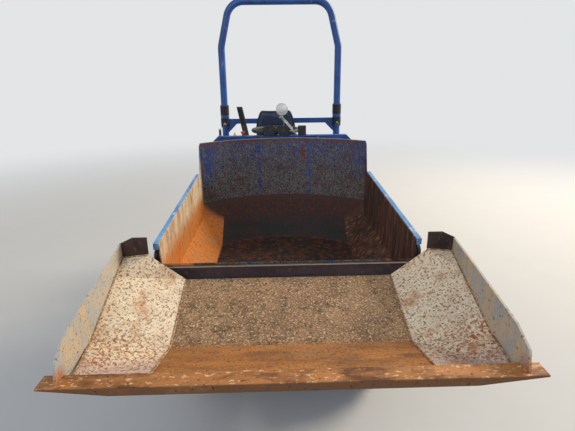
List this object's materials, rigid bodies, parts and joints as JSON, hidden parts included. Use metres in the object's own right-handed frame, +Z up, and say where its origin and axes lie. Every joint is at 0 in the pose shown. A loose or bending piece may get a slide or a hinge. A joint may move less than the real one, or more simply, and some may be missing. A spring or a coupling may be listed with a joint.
{
  "type": "site dumper",
  "caption": "Articulated site dumper with a tipping skip, a self-loading front shovel on lift arms, a driver's seat and a folding roll hoop.",
  "frame": {"origin": "on the ground under the middle of the machine", "axes": "+X to the machine's side, +Y from the shovel to the tail, +Z up"},
  "size_m": [1.55, 3.4, 2.442],
  "materials": {
    "shovel_paint": "worn tan paint under dust",
    "blade_steel": "worn steel edge with orange rust",
    "dark_paint": "dark brown worn steel",
    "skip_paint": "rusted steel with remains of blue-grey paint",
    "blue_paint": "mid blue enamel, dusty",
    "black_paint": "black paint, dusty",
    "rod_chrome": "hard chrome",
    "engine_iron": "dark cast iron",
    "seat_cover": "dark navy padded cover",
    "lamp_plastic": "white plastic",
    "black_plastic": "black plastic",
    "tyre_rubber": "dusty rubber",
    "rim_paint": "off-white paint, dusty"
  },
  "bodies": {
    "shovel": {"shovel_blade": "blade_steel", "shovel_floor": "shovel_paint", "shovel_wings": "shovel_paint", "shovel_sides": "shovel_paint", "shovel_ears": "dark_paint", "shovel_brackets": "shovel_paint"},
    "lift_arms": {"lift_arms": "blue_paint"},
    "lift_barrels": {"lift_barrels": "black_paint"},
    "lift_rods": {"lift_rods": "rod_chrome"},
    "tilt_barrel": {"tilt_barrel": "black_paint"},
    "tilt_rod": {"tilt_rod": "rod_chrome"},
    "ram_barrel": {"ram_barrel": "black_paint"},
    "ram_rod": {"ram_rod": "rod_chrome"},
    "steer_barrel": {"steer_barrel": "black_paint"},
    "steer_rod": {"steer_rod": "rod_chrome"},
    "skip": {"skip_shell": "skip_paint", "skip_lip": "dark_paint", "skip_rims": "blue_paint", "skip_lugs": "dark_paint"},
    "front_chassis": {"front_frame": "blue_paint", "skip_posts": "blue_paint", "arm_cheeks": "blue_paint", "front_axle": "black_paint"},
    "front_left_wheel": {"front_left_tyre": "tyre_rubber", "front_left_rim": "rim_paint"},
    "front_right_wheel": {"front_right_tyre": "tyre_rubber", "front_right_rim": "rim_paint"},
    "rear_left_wheel": {"rear_left_tyre": "tyre_rubber", "rear_left_rim": "rim_paint"},
    "rear_right_wheel": {"rear_right_tyre": "tyre_rubber", "rear_right_rim": "rim_paint"},
    "rear_chassis": {"rear_frame": "blue_paint", "rear_axle": "black_paint", "deck": "black_paint", "console": "blue_paint", "dash_panel": "blue_paint", "engine_block": "engine_iron", "hood": "blue_paint", "tail_weight": "blue_paint", "tow_jaw": "black_paint", "fenders": "blue_paint", "seat_frame": "black_paint", "seat_cushion": "seat_cover", "seat_back": "seat_cover", "control_lever": "black_paint", "work_lamp": "lamp_plastic", "panel_fittings": "black_plastic", "steering_column": "black_paint", "steering_wheel": "black_plastic", "bar_legs": "blue_paint", "exhaust": "engine_iron"},
    "roll_hoop": {"roll_bar": "blue_paint"}
  },
  "joints": [
    {"name": "steer", "type": "hinge", "parent": "rear_chassis", "child": "front_chassis", "pos_m": [0, 0.25, 0.5], "axis": [0, 0, 1], "range_deg": [-25, 25]},
    {"name": "front_left_wheel_spin", "type": "hinge", "parent": "front_chassis", "child": "front_left_wheel", "pos_m": [-0.49, -0.4, 0.33], "axis": [1, 0, 0], "continuous": true},
    {"name": "front_right_wheel_spin", "type": "hinge", "parent": "front_chassis", "child": "front_right_wheel", "pos_m": [0.49, -0.4, 0.33], "axis": [1, 0, 0], "continuous": true},
    {"name": "rear_left_wheel_spin", "type": "hinge", "parent": "rear_chassis", "child": "rear_left_wheel", "pos_m": [-0.49, 1.05, 0.33], "axis": [1, 0, 0], "continuous": true},
    {"name": "rear_right_wheel_spin", "type": "hinge", "parent": "rear_chassis", "child": "rear_right_wheel", "pos_m": [0.49, 1.05, 0.33], "axis": [1, 0, 0], "continuous": true},
    {"name": "shovel_lift", "type": "hinge", "parent": "front_chassis", "child": "lift_arms", "pos_m": [0, 0.07, 0.62], "axis": [1, 0, 0], "range_deg": [-55, 28]},
    {"name": "shovel_tip", "type": "hinge", "parent": "lift_arms", "child": "shovel", "pos_m": [0, -1.23, 0.8], "axis": [-1, 0, 0], "range_deg": [-45, 0]},
    {"name": "skip_tip", "type": "hinge", "parent": "front_chassis", "child": "skip", "pos_m": [0, -0.95, 1.03], "axis": [1, 0, 0], "range_deg": [0, 70]},
    {"name": "lift_swing", "type": "hinge", "parent": "front_chassis", "child": "lift_barrels", "pos_m": [0, 0.06, 0.33], "axis": [1, 0, 0], "range_deg": [-44.1, 22.5]},
    {"name": "lift_slide", "type": "slide", "parent": "lift_barrels", "child": "lift_rods", "axis": [0, -0.8856, 0.4645], "range_m": [-0.108, 0.212]},
    {"name": "tilt_swing", "type": "hinge", "parent": "lift_arms", "child": "tilt_barrel", "pos_m": [0, -1.08, 0.655], "axis": [-1, 0, 0], "range_deg": [-23.5, 0]},
    {"name": "tilt_slide", "type": "slide", "parent": "tilt_barrel", "child": "tilt_rod", "axis": [0, -0.9419, 0.336], "range_m": [-0.096, 0]},
    {"name": "ram_swing", "type": "hinge", "parent": "front_chassis", "child": "ram_barrel", "pos_m": [0, -0.84, 0.36], "axis": [1, 0, 0], "range_deg": [0, 49.2]},
    {"name": "ram_slide", "type": "slide", "parent": "ram_barrel", "child": "ram_rod", "axis": [0, 0.9558, 0.2941], "range_m": [0, 0.6695]},
    {"name": "steer_swing", "type": "hinge", "parent": "rear_chassis", "child": "steer_barrel", "pos_m": [-0.26, 0.63, 0.5], "axis": [0, 0, 1], "range_deg": [-3.76, 3.76]},
    {"name": "steer_slide", "type": "slide", "parent": "steer_barrel", "child": "steer_rod", "axis": [0, -1, 0], "range_m": [-0.1115, 0.1115]},
    {"name": "rops_fold", "type": "hinge", "parent": "rear_chassis", "child": "roll_hoop", "pos_m": [0, 1.352, 1.455], "axis": [-1, 0, 0], "range_deg": [0, 110]}
  ],
  "couplings": [
    {"joint": "lift_swing", "follows": "shovel_lift", "ratio": 0.8},
    {"joint": "lift_slide", "follows": "shovel_lift", "m_per_rad": -0.22},
    {"joint": "tilt_swing", "follows": "shovel_tip", "ratio": 0.5213},
    {"joint": "tilt_slide", "follows": "shovel_tip", "m_per_rad": 0.12198},
    {"joint": "ram_swing", "follows": "skip_tip", "ratio": 0.702},
    {"joint": "ram_slide", "follows": "skip_tip", "m_per_rad": 0.5477},
    {"joint": "steer_swing", "follows": "steer", "ratio": 0.15},
    {"joint": "steer_slide", "follows": "steer", "m_per_rad": 0.255}
  ]
}
